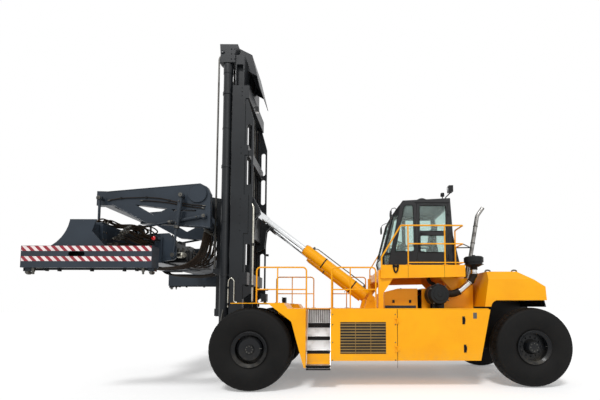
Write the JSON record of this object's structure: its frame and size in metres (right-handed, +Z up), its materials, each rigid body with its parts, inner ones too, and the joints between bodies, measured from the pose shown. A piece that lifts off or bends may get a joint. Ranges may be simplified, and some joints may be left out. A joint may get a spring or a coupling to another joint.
{
  "type": "container handler",
  "caption": "Heavy forklift-type container handler with a two-stage mast, a telescopic top-lift spreader, twin drive wheels and a raised cab.",
  "frame": {"origin": "floor level, midway between the spreader's front and the back of the rear tyres, on the truck's middle plane", "axes": "+X towards the truck's rear, +Y towards its right side, +Z up"},
  "size_m": [10.9712, 6.113, 8.54],
  "materials": {
    "amber_paint": "satin",
    "slate_paint": "satin",
    "cab_charcoal": "satin",
    "tyre_rubber": "matte",
    "rim_slate": "satin",
    "step_aluminium": "brushed",
    "chrome": "polished",
    "cab_glass": "clear",
    "seat_fabric": "matte",
    "chain_steel": "oiled",
    "lamp_plastic": "gloss",
    "black_plastic": "matte",
    "engine_iron": "rough",
    "frame_black": "satin"
  },
  "bodies": {
    "truck": {"chassis": "frame_black", "drive_axle": "frame_black", "steer_axle": "frame_black", "deck": "amber_paint", "fenders": "amber_paint", "steps": "step_aluminium", "side_boxes": "amber_paint", "louvre_panels": "amber_paint", "engine": "engine_iron", "bonnet": "amber_paint", "counterweight": "amber_paint", "cab_stand": "amber_paint", "cab": "cab_charcoal", "cab_glass": "cab_glass", "cab_interior": "seat_fabric", "handrails": "amber_paint", "air_filter": "black_plastic", "intake_pipe": "chrome", "exhaust": "chrome", "lamps": "lamp_plastic"},
    "drive_wheel_left": {"drive_tyres_left": "tyre_rubber", "drive_rims_left": "rim_slate"},
    "knuckle_left": {"steer_knuckle_left": "frame_black"},
    "steer_wheel_left": {"steer_tyre_left": "tyre_rubber", "steer_rim_left": "rim_slate"},
    "side_door_left": {"side_door_left": "amber_paint"},
    "tilt_barrel_left": {"tilt_barrel_left": "amber_paint"},
    "tilt_rod_left": {"tilt_rod_left": "chrome"},
    "spreader_end_left": {"spreader_end_left": "slate_paint"},
    "drive_wheel_right": {"drive_tyres_right": "tyre_rubber", "drive_rims_right": "rim_slate"},
    "knuckle_right": {"steer_knuckle_right": "frame_black"},
    "steer_wheel_right": {"steer_tyre_right": "tyre_rubber", "steer_rim_right": "rim_slate"},
    "side_door_right": {"side_door_right": "amber_paint"},
    "tilt_barrel_right": {"tilt_barrel_right": "amber_paint"},
    "tilt_rod_right": {"tilt_rod_right": "chrome"},
    "spreader_end_right": {"spreader_end_right": "slate_paint"},
    "cab_door": {"cab_door": "cab_charcoal", "cab_door_glass": "cab_glass"},
    "outer_mast": {"outer_mast": "slate_paint", "lift_barrels": "slate_paint"},
    "inner_mast": {"inner_mast": "slate_paint", "lift_rods": "chrome", "chain_front_strands": "chain_steel", "chain_rear_strands": "chain_steel"},
    "carriage": {"carriage": "slate_paint"},
    "side_shift": {"arms": "slate_paint", "hangers": "slate_paint", "spreader_frame": "slate_paint"},
    "twistlock_left_front": {"twistlock_left_front": "chain_steel"},
    "twistlock_left_rear": {"twistlock_left_rear": "chain_steel"},
    "twistlock_right_front": {"twistlock_right_front": "chain_steel"},
    "twistlock_right_rear": {"twistlock_right_rear": "chain_steel"}
  },
  "joints": [
    {"name": "drive_wheel_left", "type": "hinge", "parent": "truck", "child": "drive_wheel_left", "pos_m": [-1.57, -1.8, 0.875], "axis": [0, 1, 0], "continuous": true},
    {"name": "steer_left", "type": "hinge", "parent": "truck", "child": "knuckle_left", "pos_m": [4.61, -1.05, 0.875], "axis": [0, 0, 1], "range_deg": [-55, 55]},
    {"name": "steer_wheel_left", "type": "hinge", "parent": "knuckle_left", "child": "steer_wheel_left", "pos_m": [4.61, -1.45, 0.875], "axis": [0, 1, 0], "continuous": true},
    {"name": "side_door_left", "type": "hinge", "parent": "truck", "child": "side_door_left", "pos_m": [1.578, -1.768, 1.15], "axis": [0, 0, 1], "range_deg": [-100, 0]},
    {"name": "tilt_pin_left", "type": "hinge", "parent": "truck", "child": "tilt_barrel_left", "pos_m": [1.096, -0.74, 1.95], "axis": [0, 1, 0], "range_deg": [-2.75, 5.5]},
    {"name": "tilt_rod_left", "type": "slide", "parent": "tilt_barrel_left", "child": "tilt_rod_left", "axis": [-0.7946, 0, 0.6071], "range_m": [-0.4958, 0.2484]},
    {"name": "drive_wheel_right", "type": "hinge", "parent": "truck", "child": "drive_wheel_right", "pos_m": [-1.57, 1.8, 0.875], "axis": [0, 1, 0], "continuous": true},
    {"name": "steer_right", "type": "hinge", "parent": "truck", "child": "knuckle_right", "pos_m": [4.61, 1.05, 0.875], "axis": [0, 0, 1], "range_deg": [-55, 55]},
    {"name": "steer_wheel_right", "type": "hinge", "parent": "knuckle_right", "child": "steer_wheel_right", "pos_m": [4.61, 1.45, 0.875], "axis": [0, 1, 0], "continuous": true},
    {"name": "side_door_right", "type": "hinge", "parent": "truck", "child": "side_door_right", "pos_m": [1.578, 1.768, 1.15], "axis": [0, 0, 1], "range_deg": [0, 100]},
    {"name": "tilt_pin_right", "type": "hinge", "parent": "truck", "child": "tilt_barrel_right", "pos_m": [1.096, 0.74, 1.95], "axis": [0, 1, 0], "range_deg": [-2.75, 5.5]},
    {"name": "tilt_rod_right", "type": "slide", "parent": "tilt_barrel_right", "child": "tilt_rod_right", "axis": [-0.7946, 0, 0.6071], "range_m": [-0.4958, 0.2484]},
    {"name": "cab_door", "type": "hinge", "parent": "truck", "child": "cab_door", "pos_m": [3.026, -0.798, 3.5], "axis": [0, 0, 1], "range_deg": [0, 50]},
    {"name": "mast_tilt", "type": "hinge", "parent": "truck", "child": "outer_mast", "pos_m": [-1.88, 0, 0.7], "axis": [0, 1, 0], "range_deg": [-5, 10]},
    {"name": "mast_lift", "type": "slide", "parent": "outer_mast", "child": "inner_mast", "axis": [0, 0, 1], "range_m": [0, 4.85]},
    {"name": "carriage_lift", "type": "slide", "parent": "inner_mast", "child": "carriage", "axis": [0, 0, 1], "range_m": [0, 4.85], "deforming": ["chain_front_strands"]},
    {"name": "side_shift", "type": "slide", "parent": "carriage", "child": "side_shift", "axis": [0, 1, 0], "range_m": [-0.59, 0.59]},
    {"name": "telescope_left", "type": "slide", "parent": "side_shift", "child": "spreader_end_left", "axis": [0, -1, 0], "range_m": [0, 3.066]},
    {"name": "telescope_right", "type": "slide", "parent": "side_shift", "child": "spreader_end_right", "axis": [0, 1, 0], "range_m": [0, 3.066]},
    {"name": "twistlock_left_front", "type": "hinge", "parent": "spreader_end_left", "child": "twistlock_left_front", "pos_m": [-5.4245, -2.9265, 2.462], "axis": [0, 0, 1], "range_deg": [0, 90]},
    {"name": "twistlock_left_rear", "type": "hinge", "parent": "spreader_end_left", "child": "twistlock_left_rear", "pos_m": [-3.1655, -2.9265, 2.462], "axis": [0, 0, 1], "range_deg": [0, 90]},
    {"name": "twistlock_right_front", "type": "hinge", "parent": "spreader_end_right", "child": "twistlock_right_front", "pos_m": [-5.4245, 2.9265, 2.462], "axis": [0, 0, 1], "range_deg": [0, 90]},
    {"name": "twistlock_right_rear", "type": "hinge", "parent": "spreader_end_right", "child": "twistlock_right_rear", "pos_m": [-3.1655, 2.9265, 2.462], "axis": [0, 0, 1], "range_deg": [0, 90]}
  ],
  "couplings": [
    {"joint": "steer_right", "follows": "steer_left", "ratio": 1},
    {"joint": "carriage_lift", "follows": "mast_lift", "ratio": 1},
    {"joint": "telescope_right", "follows": "telescope_left", "ratio": 1},
    {"joint": "tilt_pin_left", "follows": "mast_tilt", "ratio": 0.549},
    {"joint": "tilt_rod_left", "follows": "mast_tilt", "m_per_rad": -2.835},
    {"joint": "tilt_pin_right", "follows": "mast_tilt", "ratio": 0.549},
    {"joint": "tilt_rod_right", "follows": "mast_tilt", "m_per_rad": -2.835},
    {"joint": "twistlock_left_rear", "follows": "twistlock_left_front", "ratio": 1},
    {"joint": "twistlock_right_front", "follows": "twistlock_left_front", "ratio": 1},
    {"joint": "twistlock_right_rear", "follows": "twistlock_left_front", "ratio": 1}
  ]
}
